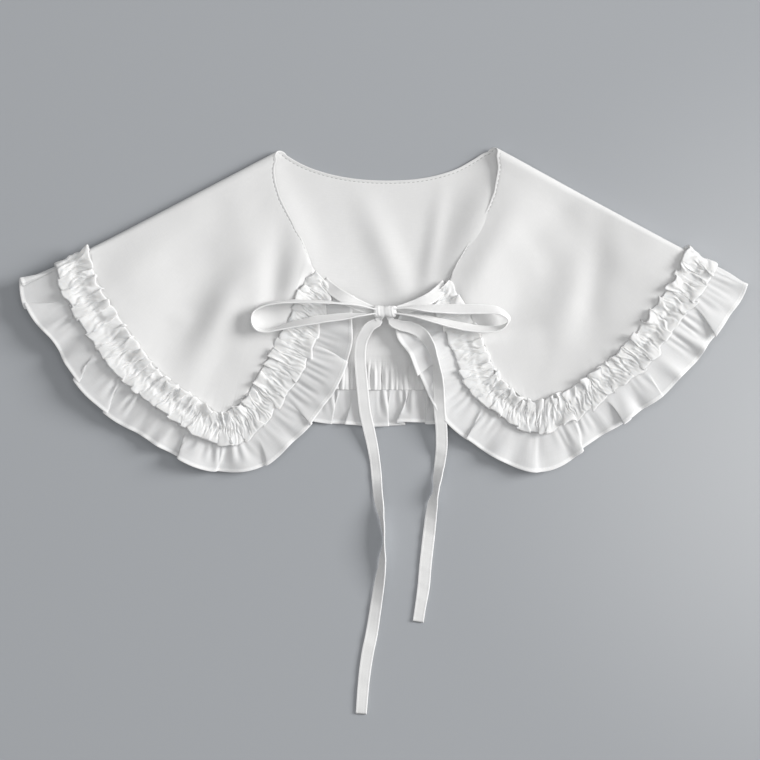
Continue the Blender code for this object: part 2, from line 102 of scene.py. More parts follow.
RIGHT_FLAP = (
    (0.609, 0.917, 0.141, 0.497, 0.51, 0.46, 1),
    (0.636, 0.872, 0.165, 0.565, 0.69, 0.37, 1.36),
    (0.664, 0.827, 0.196, 0.647, 0.83, 0.29, 1.3),
    (0.7, 0.774, 0.221, 0.712, 0.8, 0.29, 1.28),
    (0.736, 0.722, 0.248, 0.791, 0.8, 0.37, 1.2),
    (0.782, 0.658, 0.294, 0.856, 0.63, 0.54, 1.16),
    (0.827, 0.59, 0.349, 0.897, 0.43, 0.63, 1.24),
    (0.873, 0.523, 0.407, 0.942, 0.23, 0.74, 1.17),
    (0.909, 0.462, 0.475, 0.962, 0.03, 0.91, 1.17),
    (0.941, 0.406, 0.536, 0.935, -0.14, 0.83, 1.05),
    (0.964, 0.357, 0.609, 0.894, -0.31, 0.74, 0.92),
    (0.986, 0.308, 0.689, 0.822, -0.51, 0.6, 1),
    (0.994, 0.263, 0.775, 0.753, -0.69, 0.51, 1.05),
    (1.004, 0.218, 0.827, 0.685, -0.74, 0.4, 1.12),
    (1.014, 0.169, 0.888, 0.586, -0.66, 0.46, 1.2),
    (1.02, 0.12, 0.943, 0.51, -0.74, 0.43, 1.12),
    (1.014, 0.079, 0.977, 0.452, -0.8, 0.4, 1.22),
    (1.006, 0.039, 0.995, 0.408, -0.83, 0.44, 1.14),
)
BACK_COLUMNS = ("neck_x", "neck_y", "seam_x", "seam_y", "reach")
BACK = (
    (-0.845, 0.262, -0.904, 0.661, 1.1),
    (-0.754, 0.45, -0.763, 0.803, 1),
    (-0.618, 0.655, -0.567, 0.904, 1),
    (-0.427, 0.847, -0.352, 0.967, 1),
    (-0.209, 0.966, -0.168, 0.996, 1.05),
    (0.018, 1, 0.006, 1, 1.05),
    (0.245, 0.966, 0.181, 0.996, 1.02),
    (0.445, 0.847, 0.368, 0.967, 1),
    (0.636, 0.627, 0.582, 0.904, 1),
    (0.791, 0.318, 0.775, 0.803, 1),
    (0.876, 0.115, 0.916, 0.661, 1.1),
)
# Where the back's neck edge comes out of each shoulder fold, in the same units
NECK_ENDS = ((-0.894, 0.146), (0.9325, 0.033))

# Heights along a flap in FRONT_LEVEL, from 0 at the neck end to 1 at the fold, and the hem's over
# FRONT_HEM_LEVEL
HEIGHT_COLUMNS = ("along", "neck", "inner", "seam", "hem")
FLAP_HEIGHTS = (
    (0, 1.02, 1.06, 1.12, 0.95),
    (0.18, 1, 1.02, 1.1, 0.95),
    (0.3, 1, 1.01, 1, 0.45),
    (0.42, 1, 1.08, 0.98, 0.06),
    (0.58, 1, 1.34, 1.34, 0.06),
    (0.76, 1.02, 1.92, 2, 0.7),
    (0.88, 1.03, 2.02, 2.1, 1.05),
    (1, 1.1, 1.66, 1.7, 1.02),
)

# Soft swells and valleys in the cloth: layer (0 flaps, 1 back), middle in HALF_SPAN and FRONT_DEPTH, half
# length and half width in FRONT_DEPTH, turn in degrees from +X, and height in millimetres
SWELL_COLUMNS = ("layer", "x", "y", "length", "width", "turn", "height")
SWELLS = (
    (0, -0.64, 0.59, 0.26, 0.085, 60, -2.6),
    (0, -0.525, 0.61, 0.22, 0.058, 60, 5),
    (0, -0.4, 0.56, 0.24, 0.08, 66, 2),
    (0, -0.52, 0.79, 0.1, 0.05, 50, -2.4),
    (0, -0.335, 0.42, 0.15, 0.042, 82, -2.6),
    (0, -0.265, 0.42, 0.18, 0.05, 76, 2.4),
    (0, -0.76, 0.4, 0.18, 0.07, 40, 2.6),
    (0, -0.43, 0.3, 0.14, 0.06, 30, 1.6),
    (0, 0.64, 0.43, 0.2, 0.05, 82, -2.6),
    (0, 0.56, 0.44, 0.26, 0.15, 78, -2),
    (0, 0.43, 0.48, 0.18, 0.07, 62, -2.6),
    (0, 0.545, 0.58, 0.2, 0.066, 64, 3),
    (0, 0.455, 0.73, 0.09, 0.045, 60, -2.6),
    (0, 0.52, 0.23, 0.12, 0.06, 30, -1.6),
    (0, 0.3, 0.38, 0.22, 0.055, 62, 3),
    (1, 0.29, 0.23, 0.28, 0.08, 64, 6.2),
    (1, -0.3, 0.22, 0.26, 0.06, -66, 3.4),
    (1, 0.004, 0.35, 0.28, 0.052, -68, 2.5),
    (1, 0.15, 0.3, 0.2, 0.03, 80, 1.6),
)

# The ties' routes, from the top of the shoulder folds and the centre line: x, y, z in millimetres, tilt of
# the tape out of the level in degrees, and its width as a share of TAPE_WIDTH
ROUTE_COLUMNS = ("x", "y", "z", "tilt", "width")
LEFT_LEAD = (
    (-41, -86.2, 6.2, 0, 0.9),
    (-36.6, -90, 7.6, 0, 0.9),
    (-31.4, -94.2, 10, 0, 0.95),
    (-25.6, -97.8, 11.4, -4, 1),
    (-17.8, -101.9, 11.3, -8, 0.95),
    (-7.8, -105.5, 10.9, 0, 0.75),
)
LEFT_LOOP = (
    (-7.7, -104.5, 14.2, 90, 0.5),
    (-17, -102.4, 15.4, 88, 0.66),
    (-26.4, -101.3, 16.2, 84, 0.84),
    (-45.5, -100, 16.4, 78, 0.96),
    (-62.7, -99.9, 15.6, 76, 1),
    (-77.2, -101.6, 14.4, 78, 1),
    (-85.8, -106.2, 13.4, 84, 1),
    (-87.6, -112.4, 13, 90, 1),
    (-84, -118, 13, 96, 1),
    (-76, -119, 13.2, 100, 1),
    (-62.7, -115.6, 14.4, 116, 1),
    (-45.5, -112, 15.6, 132, 0.98),
    (-26.4, -109.6, 16, 130, 0.86),
    (-17, -108.6, 15.4, 112, 0.66),
    (-7.7, -107.8, 14.2, 90, 0.5),
)
LEFT_TAIL = (
    (-4.2, -111.2, 12.2, 0, 0.55),
    (-4.6, -113.2, 12, 0, 0.7),
    (-9.8, -116, 11.5, 0, 0.88),
    (-13.2, -120.8, 10.8, 0, 0.97),
    (-15.8, -127, 9.6, 0, 1),
    (-16.5, -136, 8.2, 0, 1),
    (-15.6, -149, 7.2, 0, 1),
    (-14.4, -161, 6.8, 0, 1),
    (-13.2, -172, 6, 0, 1),
    (-10.8, -182.8, 4.2, 0, 1),
    (-8.4, -194, 2.2, 0, 0.95),
    (-6.6, -205, 1.1, 8, 0.9),
    (-5.6, -214.5, 1.1, 10, 0.9),
    (-4.6, -227, 2.1, 24, 0.9),
    (-2.5, -239.3, 3.7, 58, 0.92),
    (-0.6, -254.1, 4.4, 88, 1),
    (-1.2, -265.3, 4.2, 70, 1),
    (-2.3, -276.5, 3.4, 46, 1),
    (-4.3, -289.1, 2.3, 24, 1),
    (-6.3, -302.3, 1.4, 10, 1),
    (-8.9, -318.8, 0.8, 0, 1.05),
    (-11.6, -332, 0.8, 0, 1.05),
    (-13.9, -348.5, 0.8, 0, 1),
    (-15.8, -371.6, 0.8, 0, 0.95),
)
RIGHT_LEAD = (
    (40.4, -88, 6.2, 0, 0.95),
    (35.8, -92.4, 7.6, 0, 0.95),
    (30.6, -96.8, 10, 0, 0.98),
    (24.4, -100.3, 11.4, 8, 1),
    (16.5, -103.4, 11.2, 8, 0.95),
    (7.8, -105.5, 10.9, 0, 0.75),
)
RIGHT_LOOP = (
    (7.7, -104.5, 14.2, 90, 0.5),
    (16.5, -103.8, 15.2, 108, 0.66),
    (27.7, -104.3, 15.8, 132, 0.9),
    (46.2, -104.8, 14.8, 146, 1),
    (62.7, -104.8, 14.4, 144, 1),
    (74.5, -106, 14, 128, 1),
    (81.2, -111.6, 13.4, 102, 1),
    (75.5, -117, 13.4, 68, 1),
    (62.7, -117.8, 13.8, 54, 1),
    (46.2, -115.2, 14.4, 52, 1),
    (28.4, -111, 15.4, 62, 0.9),
    (16.5, -108.6, 15.2, 76, 0.66),
    (7.7, -107.8, 14.2, 90, 0.5),
)
RIGHT_TAIL = (
    (4, -111.4, 12.2, 0, 0.5),
    (4.9, -113.4, 12, 0, 0.72),
    (11, -115.6, 11.7, 0, 0.9),
    (16.8, -116.6, 11.4, 0, 1),
    (24, -120.6, 11.6, 12, 1),
    (29.8, -128.6, 12.4, 45, 1),
    (33.2, -138.5, 12.8, 62, 1),
    (34.8, -149, 11.6, 38, 1),
    (35.3, -160, 10.6, 16, 1),
    (35.8, -171, 9.4, 4, 1),
    (37, -182.8, 6.6, 0, 1),
    (37.3, -194.7, 3.6, 0, 1),
    (36.3, -204.6, 1.8, 14, 0.95),
    (34.8, -214.5, 3.1, 40, 0.95),
    (33.5, -225.1, 3.9, 62, 0.95),
    (31.2, -234.3, 2.7, 28, 1),
    (28.7, -255.4, 1, 0, 1.05),
    (26.7, -273.2, 0.8, 0, 1.05),
    (25.4, -287.8, 0.8, 0, 1.05),
    (23.1, -302.3, 0.8, 0, 0.95),
    (21.8, -310.9, 0.8, 0, 0.95),
)
# Inside the knot, where each tie turns from its lead into its loop, and from its loop into its tail,
# with x in the direction of its own side
LEAD_TO_LOOP = (
    (3.2, -105.4, 11.3, 45, 0.6),
    (1.6, -105, 12.6, 90, 0.5),
    (3.2, -104.8, 13.8, 90, 0.5),
)
LOOP_TO_TAIL = (
    (3, -107.9, 13.6, 90, 0.5),
    (2.2, -108.8, 12.8, 45, 0.5),
)

# How many stations each section's grids have: flap, shoulder fold, back, fold and flap
PANEL_STEPS = (170, 18, 380, 18, 170)
RUFFLE_STEPS = (420, 30, 420, 30, 420)
RUCHE_STEPS = (800, 40, 280, 40, 800)
# Which sections are the back and the shoulder folds
BACK_SECTION = 2
FOLD_SECTIONS = (1, 3)

# How the panel rises from its neck edge to the ruche: the flaps' power and the share where the back starts
FLAP_RISE_POWER = 3.5
BACK_RISE_FROM = 0.80
# How far from the back's edge the flaps stop and start lying clear of it, and how soft the step is
NEAR_BACK_EDGE = (0.026, 0.040)
CLEARANCE_BLEND = 0.0009
# Rows across the panel count 0 at the neck edge, this at the ruche's inner line and one more at the seam
INNER_ROW = 6
# Puckers at the panel's seam: pitch, grain, the flaps' height, how much higher they are on the back, and
# how far from its middle
PUCKER_PITCH = 0.0044
PUCKER_GRAIN = 0.0026
FLAP_PUCKER = 0.00022
BACK_PUCKER = 0.00060
PUCKERED_BACK = 0.07
# Slow unevenness of the panel: height, length along X and Y, and seed
SWAYS = ((0.0011, 0.040, 0.048, 5), (0.00045, 0.016, 0.019, 6))
# The crimped band above the back's seam, between the flaps: height, teeth, their pitch and its upper
# edge's, and how far from the middle it fades
CRIMP_HEIGHT = 0.0010
CRIMP_TEETH = 0.0009
CRIMP_PITCH = 0.0026
CRIMP_EDGE_PITCH = 0.0030
CRIMP_FADES = (0.055, 0.080)
# The neck edge: its lip, the groove at the stitches and the groove's width in the stitches' share
NECK_LIP = 0.00014
NECK_GROOVE = 0.00016
GROOVE_SHARE = 0.0045

# Stitches along the neck: their line's share of the way from the neck edge to the ruche, the panel's rows
# about it, and each stitch's sizes, with its rings' places in its length and shares of its radius
NECK_STITCH_SHARE = 0.016
PANEL_STITCH_ROWS = (0.008, 0.012, NECK_STITCH_SHARE, 0.020, 0.024)
STITCH_PITCH = 0.0030
STITCH_LENGTH = 0.0018
STITCH_RADIUS = 0.00024
STITCH_SPREAD = 1.3
STITCH_SIDES = 6
STITCH_RINGS = ((-0.5, 0.15), (-0.36, 0.85), (0.0, 1.0), (0.36, 0.85), (0.5, 0.15))

# The ruche's height over the panel, with its inner edge at -1 and its outer edge at 1
RUCHE_PROFILE_AT = (-1, -0.7, -0.3, -0.05, 0.05, 0.35, 0.7, 1)
RUCHE_PROFILE = (0.0014, 0.0013, 0.0008, 0.0003, 0.0004, 0.0012, 0.0019, 0.0021)
# Its creases and swells: height, length and seed
RUCHE_CREASE = (0.00050, 0.0017, 42)
RUCHE_FINE_CREASE = (0.00042, 0.0011, 40)
RUCHE_SWELL = (0.00026, 0.0042, 43)
# Its edges, inner and then outer: seed, pitch, overlap and height of the folds, then height, length and
# seed of the waves, and reach, length and seed of the scallops
RUCHE_FOLDS = ((51, 0.0066, 0.0022, 0.0011), (52, 0.0105, 0.0024, 0.0006))
RUCHE_EDGE_WAVES = ((0.0012, 0.0072, 44), (0.0007, 0.0180, 45))
RUCHE_SCALLOPS = ((0.0011, 0.010, 46), (-0.0010, 0.018, 47))
RUCHE_FOLD_LENGTH = 0.0018
RUCHE_SIDEWAYS = 0.0012

# The tape: the step along its route, its rows from the middle to an edge, its crinkle's height and pitch,
# and the shares of its half width where the hem starts and where the edge rounds off
TAPE_STEP = 0.0011
TAPE_ROWS = (0.25, 0.56, 0.66, 0.74, 0.88, 0.95, 0.985, 1.0)
TAPE_CRINKLE = 0.00012
TAPE_CRINKLE_PITCH = 0.013
TAPE_HEM_FROM = (0.66, 0.80)
TAPE_EDGE_FROM = 0.88

# The knot's outline along the bow, from its middle to its end, and how square it is round the tape
KNOT_PROFILE_AT = (0, 0.5, 0.80, 0.90, 0.97, 1)
KNOT_PROFILE = (0.94, 1.0, 0.98, 0.90, 0.72, 0.4)
KNOT_BLUNT = 0.7

# The ruffle: how far its inner edge is tucked in, its waves (height, length, seed), its gathers' height and
# pitch and the length over which they come and go, and how long a stretch a fold that laps over takes
RUFFLE_TUCK = 0.0008
RUFFLE_WAVES = ((0.0015, 0.0080, 13), (0.0012, 0.022, 14))
GATHER_HEIGHT = 0.00058
GATHER_PITCH = 0.0050
GATHER_PATCH = 0.022
FOLD_LENGTH = 0.0036

# The ruffle's folds that lap over: section (0 left flap, 2 back, 4 right flap), place in its table, then
# overlap, height, slant towards the hem and jump of the hem, in millimetres
RUFFLE_FOLDS = (
    (0, 15.5, 6, 1.8, 7.2, 3),
    (0, 13.9, 6, 1.8, -9.7, -3.5),
    (0, 12.7, 5, -1.6, -7.1, -3.2),
    (0, 10.2, 5.8, 1.7, -9, -3),
    (0, 8.4, 3, -1.2, 2, 0.8),
    (0, 6.4, 4, 1.3, 6.6, 1),
    (0, 4.7, 3.4, 1.2, 4.6, 1),
    (0, 2.6, 3.4, -1.2, 4, 1),
    (2, 3.4, 4.4, 1.4, 0, 0.8),
    (2, 4.5, 4, -1.4, 0, 0.8),
    (2, 5.17, 5, -2.2, -6.6, -1),
    (2, 5.42, 2.6, 1.4, -5, 0.6),
    (2, 6.05, 4.2, -1.9, -3, 0.6),
    (2, 6.37, 5, 2.4, -4.8, -2.6),
    (2, 6.66, 3, 1.5, 1, 1.2),
    (2, 7.4, 4.4, -1.4, 0, 1),
    (2, 10, 4.4, 1.4, 0, 0.8),
    (4, 14.8, 5.6, 1.8, 4.4, -1.4),
    (4, 12.2, 4.8, -1.4, 3.8, 1),
    (4, 10.7, 5.8, 1.8, -2.8, 1.8),
    (4, 9.6, 3, -1.2, 4, 1),
    (4, 7.8, 3.6, -1.3, -2, 1),
    (4, 5.2, 5, 1.6, -2.9, 1.4),
    (4, 2.6, 4, -1.4, -4, 1.2),
)

# How the weave runs along the gathered pieces, as a share of the seam that they are sewn to
RUFFLE_WEAVE = 1.5
RUCHE_WEAVE = 1.8
# The threads' pitch, and the share of the cloth's colour that the darker ones have
THREAD_PITCH = 0.00058
DARKER_THREADS = 0.92

# The cloth's shine and how far light spreads in it, then the hems: their white, the shares of their width
# where they fade and where their stitches run, and the stitches
CLOTH_ROUGHNESS = 0.88
CLOTH_SHINE = (
    ("Sheen Weight", 0.25),
    ("Sheen Roughness", 0.5),
    ("Specular IOR Level", 0.25),
    ("Subsurface Radius", (1.0, 0.95, 0.9)),
    ("Subsurface Scale", 0.0012),
)
HEM_WHITE = (0.95, 0.95, 0.95, 1)
NARROW_HEM = 0.0008
HEM_FADES = (1.12, 0.92)
HEM_STITCH_AT = 0.72
HEM_STITCH_WIDTH = 0.00035
HEM_STITCH_PITCH = 0.0011
HEM_STITCH_GAP = (0.0002, 0.0005)

# The photograph: its width in pixels, what a pixel covers and where the tables' origin is in it, then the
# camera's height, and its sensor's width in millimetres
PHOTO_PIXELS = 760
PIXEL = 0.00066
ORIGIN_PIXEL = (385.0, 151.0)
CAMERA_HEIGHT = 1.6
SENSOR_WIDTH = 36.0

# The floor: its half width, level and two greys, the second being a painted pool of light, that painted
# pool's middle and reach, roughness and grain
FLOOR_HALF = 3.0
FLOOR_LEVEL = -0.0002
FLOOR_GREY = (0.395, 0.412, 0.436, 1)
FLOOR_PAINTED_LIGHT_GREY = (0.555, 0.57, 0.59, 1)
PAINTED_LIGHT_POOL_MIDDLE = (0.32, -0.08, 0)
PAINTED_LIGHT_POOL_REACH = 0.31
FLOOR_ROUGHNESS = 0.9
FLOOR_GRAIN = 900

# Lamps: name, place, size, watts and colour
LAMPS = (
    ("key", (3.60, 0.80, 1.75), 1.7, 176, (1.0, 0.995, 0.985)),
    ("fill", (-1.2, -0.2, 1.5), 1.8, 3.2, (0.97, 0.99, 1.0)),
    ("top", (0.1, 0.1, 2.2), 2.0, 14.0, (1.0, 1.0, 1.0)),
)
SKY_STRENGTH = 0.215


def unit(vectors):
    return vectors / np.maximum(np.linalg.norm(vectors, axis=-1, keepdims=True), 1e-12)


def smoothstep(low, high, value):
    t = np.clip((value - low) / (high - low), 0, 1)
    return t * t * (3 - 2 * t)


def smooth_rows(rows, places):
    """Values between the rows of a table, on a curve that passes through each of them."""
    rows = np.asarray(rows, float)
    padded = np.vstack([2 * rows[0] - rows[1], rows, 2 * rows[-1] - rows[-2]])
    start = np.minimum(places.astype(int), len(rows) - 2)
    t = (places - start)[:, None]
    before, here, after, beyond = (padded[start + k] for k in range(4))
    return 0.5 * (
        2 * here
        + (after - before) * t
        + (2 * before - 5 * here + 4 * after - beyond) * t**2
        + (3 * here - before - 3 * after + beyond) * t**3
    )


def blurred(values, reach):
    """A row of values with its corners rounded off over some steps to each side."""
    reach = max(1, int(reach))
    weights = np.hanning(2 * reach + 3)[1:-1]
    padded = np.concatenate([np.full(reach, values[0]), values, np.full(reach, values[-1])])
    return np.convolve(padded, weights / weights.sum(), mode="valid")


def ripple(at, pitch, seed, spread=0.45, waves=6):
    """Irregular waves about a pitch apart, between about -1 and 1, the same for the same seed."""
    random = np.random.default_rng(seed)
    total = np.zeros(np.shape(at))
    for _ in range(waves):
        length = pitch * np.exp(random.normal(0, spread))
        total = total + np.sin(2 * np.pi * at / length + random.uniform(0, 2 * np.pi))
    return total / np.sqrt(waves / 2) / 1.4


def cloud(u, v, seed):
    """Smooth noise from about -1 to 1 over two coordinates, with a new value about each whole number."""
    lattice = np.random.default_rng(seed).uniform(-1, 1, (512, 64))
    u, v = np.broadcast_arrays(u, v)
    low_u, low_v = np.floor(u).astype(int), np.floor(v).astype(int)
    share_u, share_v = smoothstep(0, 1, u - low_u), smoothstep(0, 1, v - low_v)
    total = 0
    for step_u, weight_u in ((0, 1 - share_u), (1, share_u)):
        for step_v, weight_v in ((0, 1 - share_v), (1, share_v)):
            total = total + lattice[(low_u + step_u) % 512, (low_v + step_v) % 64] * weight_u * weight_v
    return total


def overlaps(run, folds, rows, length):
    """How far folds that lap over slide the cloth along its edge, lift it and push it out. Each fold is
    its place, overlap, height, slant across the rows and jump of the edge from one side to the other."""
    slide, lift, push = 0, 0, 0
    for place, overlap, height, slant, jump in folds:
        x = (run[:, None] - place - slant * rows) / length
        slide = slide - overlap * x * np.exp(0.5 - 0.5 * x * x)
        lift = lift - height * np.tanh(1.2 * x) * np.exp(-((x / 3.0) ** 2))
        push = push + 0.5 * jump * np.tanh(0.9 * x) * np.exp(-np.abs(x) / 5.0)
    return slide, lift, push


def with_height(x, y, z):
    return np.stack(np.broadcast_arrays(x, y, z), axis=-1)


def flap_section(table, steps):
    places = np.linspace(0, len(table) - 1, steps + 1)
    row = dict(zip(FLAP_COLUMNS, smooth_rows(table, places).T))
    heights = np.asarray(FLAP_HEIGHTS)
    along = places / (len(table) - 1)
    level = {
        name: blurred(np.interp(along, heights[:, 0], heights[:, k]), steps * 0.04) * FRONT_LEVEL
        for k, name in enumerate(HEIGHT_COLUMNS)
    }
    seam_x = row["seam_x"] * HALF_SPAN
    seam_y = -row["seam_y"] * FRONT_DEPTH
    return {
        "neck": with_height(row["neck_x"] * NECK_HALF, -row["neck_y"] * NECK_DROP, level["neck"]),
        "inner": with_height(
            seam_x + row["band_x"] * RUCHE_WIDTH, seam_y + row["band_y"] * RUCHE_WIDTH, level["inner"]
        ),
        "seam": with_height(seam_x, seam_y, level["seam"]),
        "hem_level": FRONT_HEM_LEVEL + level["hem"],
        "reach": row["reach"] * RUFFLE_REACH,
        "under": np.zeros(steps + 1),
        "place": places,
    }


def back_section(left, right, steps):
    table = [(x, y * NECK_DIP, sx, sy * BACK_DEPTH, reach) for x, y, sx, sy, reach in BACK]
    ends = [
        (x, y * NECK_DIP, s["seam"][-1, 0] / HALF_SPAN, -s["seam"][-1, 1], s["reach"][-1] / RUFFLE_REACH)
        for s, (x, y) in zip((left, right), NECK_ENDS)
    ]
    table = [ends[0], *table, ends[1]]
    spread = np.linspace(-1, 1, steps + 1)
    places = (len(table) - 1) * (1 + 0.45 * spread + 0.55 * spread**3) / 2
    row = dict(zip(BACK_COLUMNS, smooth_rows(table, places).T))
    neck = with_height(row["neck_x"] * NECK_HALF, -row["neck_y"], BACK_LEVEL)
    seam = with_height(row["seam_x"] * HALF_SPAN, -row["seam_y"], BACK_EDGE_LEVEL)
    along = unit(np.gradient(seam, axis=0))
    inward = np.stack([-along[:, 1], along[:, 0], np.zeros(len(seam))], axis=1)
    from_end = np.minimum(places, places[::-1]).clip(0, 1)[:, None]
    bands = [(s["inner"][-1] - s["seam"][-1]) * (1, 1, 0) for s in (left, right)]
    flap_band = np.where(places[:, None] < places.mean(), *bands)
    inner = seam + flap_band * (1 - from_end) + inward * RUCHE_WIDTH * from_end
    return {
        "neck": neck,
        "inner": inner,
        "seam": seam,
        "hem_level": np.full(steps + 1, BACK_HEM_LEVEL),
        "reach": row["reach"] * RUFFLE_REACH,
        "under": np.ones(steps + 1),
        "place": places,
    }


def fold_section(top, under, steps):
    """The cloth rolling over a shoulder fold, from a flap's last station round to the back."""
    turn = np.linspace(0, np.pi, steps + 1)
    line = unit((top["seam"] - top["neck"])[:2])
    outward = np.array([-line[1], line[0]]) * np.sign(line[0])
    section = {}
    for name in ("neck", "inner", "seam"):
        radius = (top[name][2] - under[name][2]) / 2
        middle = (top[name] + under[name]) / 2
        bulge = radius + NECK_CORNER_BULGE * (name == "neck")
        beyond = (bulge * np.sin(turn))[:, None] * outward
        beyond = beyond + (np.cos(turn) / 2)[:, None] * (top[name] - under[name])[:2]
        height = middle[2] + radius * np.cos(turn)
        section[name] = with_height(middle[0] + beyond[:, 0], middle[1] + beyond[:, 1], height)
    share = (1 - np.cos(turn)) / 2
    for name in ("hem_level", "reach", "under"):
        section[name] = top[name] * (1 - share) + under[name] * share
    section["place"] = np.zeros(steps + 1)
    return section


def one_station(section, index):
    return {name: values[index] for name, values in section.items()}


def turned_round(section):
    return {name: values[::-1] for name, values in section.items()}


def collar_lines(steps):
    """The neck edge, the ruche's inner line and the edge seam, from the left neck end to the right."""
    left = flap_section(LEFT_FLAP, steps[0])
    right = flap_section(RIGHT_FLAP, steps[4])
    back = back_section(left, right, steps[2])
    left_fold = fold_section(one_station(left, -1), one_station(back, 0), steps[1])
    right_fold = fold_section(one_station(right, -1), one_station(back, -1), steps[3])
    sections = (left, left_fold, back, turned_round(right_fold), turned_round(right))
    lines = {
        name: np.concatenate([s[name] if k == 0 else s[name][1:] for k, s in enumerate(sections)])
        for name in left
    }
    lines["section"] = np.concatenate(
        [np.full(len(s["place"]) - (k > 0), k) for k, s in enumerate(sections)]
    )
    return lines


def run_along(points):
    """How far along a line of points each of them lies."""
    return np.concatenate([[0], np.cumsum(np.linalg.norm(np.diff(points, axis=0), axis=1))])


def seam_frame(lines):
    """Directions along the seam, out of the cloth's face and away from the panel, and the run along it."""
    seam = lines["seam"]
    along = unit(np.gradient(seam, axis=0))
    face = unit(np.cross(along, seam - lines["inner"]))
    away = unit(np.cross(face, along))
    return along, face, away, run_along(seam)


def swelling(points, layer):
    total = np.zeros(points.shape[:-1])
    for row in SWELLS:
        swell = dict(zip(SWELL_COLUMNS, row))
        if swell["layer"] != layer:
            continue
        dx = points[..., 0] - swell["x"] * HALF_SPAN
        dy = points[..., 1] + swell["y"] * FRONT_DEPTH
        turn = np.radians(swell["turn"])
        lengthwise = (dx * np.cos(turn) + dy * np.sin(turn)) / (swell["length"] * FRONT_DEPTH)
        across = (-dx * np.sin(turn) + dy * np.cos(turn)) / (swell["width"] * FRONT_DEPTH)
        total += swell["height"] / 1000 * np.exp(-(lengthwise**2) - across**2)
    return total


# Meshes

def grid_normals(grid):
    along = np.gradient(grid, axis=0)
    across = np.gradient(grid, axis=1)
    return unit(np.cross(along, across))


def add_object(name, points, faces, uvs=None):
    mesh = bpy.data.meshes.new(name)
    mesh.from_pydata(points.tolist(), [], faces)
    mesh.shade_smooth()
    if uvs is not None:
        layer = mesh.uv_layers.new(name="UVMap")
        corner_points = np.empty(len(mesh.loops), np.int32)
        mesh.loops.foreach_get("vertex_index", corner_points)
        layer.data.foreach_set("uv", uvs[corner_points].astype(np.float32).ravel())
    made = bpy.data.objects.new(name, mesh)
    bpy.context.scene.collection.objects.link(made)
    return made


def cloth_object(name, grid, thickness, cut):
    """A closed cloth wall about a grid of points, with rounded edges and the cut's places as its UVs."""
    count, width = grid.shape[:2]
    normals = grid_normals(grid)
    half = np.broadcast_to(np.asarray(thickness, float), (count, width)) / 2
    border = np.zeros((count, width), bool)
    border[[0, -1]] = True
    border[:, [0, -1]] = True
    top = grid + normals * np.where(border, 0, half)[..., None]
    low = grid - normals * half[..., None]
    top_index = np.arange(count * width).reshape(count, width)
    low_index = top_index.copy()
    low_index[~border] = count * width + np.arange((~border).sum())
    points = np.concatenate([top.reshape(-1, 3), low[~border]])
    uvs = np.concatenate([cut.reshape(-1, 2), cut[~border]])
    faces = []
    for index, flip in ((top_index, False), (low_index, True)):
        corners = np.stack([index[:-1, :-1], index[1:, :-1], index[1:, 1:], index[:-1, 1:]], axis=-1)
        if flip:
            corners = corners[..., ::-1]
        faces += corners.reshape(-1, 4).tolist()
    return add_object(name, points, faces, uvs)


def edge_rows(count, near):
    """Shares from 0 to 1 with extra rows close to both edges, where the cloth's edge is rounded."""
    inside = np.linspace(0, 1, count)
    return np.unique(np.concatenate([inside, [near * 0.3, near, 1 - near, 1 - near * 0.3]]))


def panel_surface(lines, shares, band):
    """The panel as a grid: rows from the neck edge to the ruche's inner line, then on to the seam."""
    neck, inner, seam = (lines[name][:, None, :] for name in ("neck", "inner", "seam"))
    under = lines["under"][:, None]
    v = shares[None, :, None]
    body = neck * (1 - v) + inner * v
    climb = inner[..., 2] - neck[..., 2]
    lying = neck[..., 2] + climb * smoothstep(BACK_RISE_FROM, 1.0, shares)[None, :]
    lifted = neck[..., 2] + climb * (shares**FLAP_RISE_POWER)[None, :]
    body[..., 2] = lifted * (1 - under) + lying * under
    hold = np.sin(np.pi * shares.clip(0, 1))[None, :] ** 0.6
    flap = 1 - under
    relief = swelling(body, 0) * flap + swelling(body, 1) * (1 - flap)
    body[..., 2] += relief * hold
    edge_of_back = seam[lines["section"] == BACK_SECTION, 0, :2]
    from_edge = np.full(body.shape[:2], np.inf)
    for point in edge_of_back[::3]:
        from_edge = np.minimum(from_edge, np.linalg.norm(body[..., :2] - point, axis=-1))
    over_back = 1 - smoothstep(*NEAR_BACK_EDGE, from_edge)
    lowest = CLEAR_OF_FLOOR + (CLEAR_OF_BACK - CLEAR_OF_FLOOR) * over_back
    above = body[..., 2] - lowest
    cleared = lowest + (above + np.sqrt(above**2 + CLEARANCE_BLEND**2)) / 2
    body[..., 2] = np.maximum(body[..., 2], LOWEST_CLOTH) * (1 - flap) + cleared * flap
    q = band[None, 1:, None]
    edge = inner * (1 - q) + seam * q
    return np.concatenate([body, edge], axis=1)


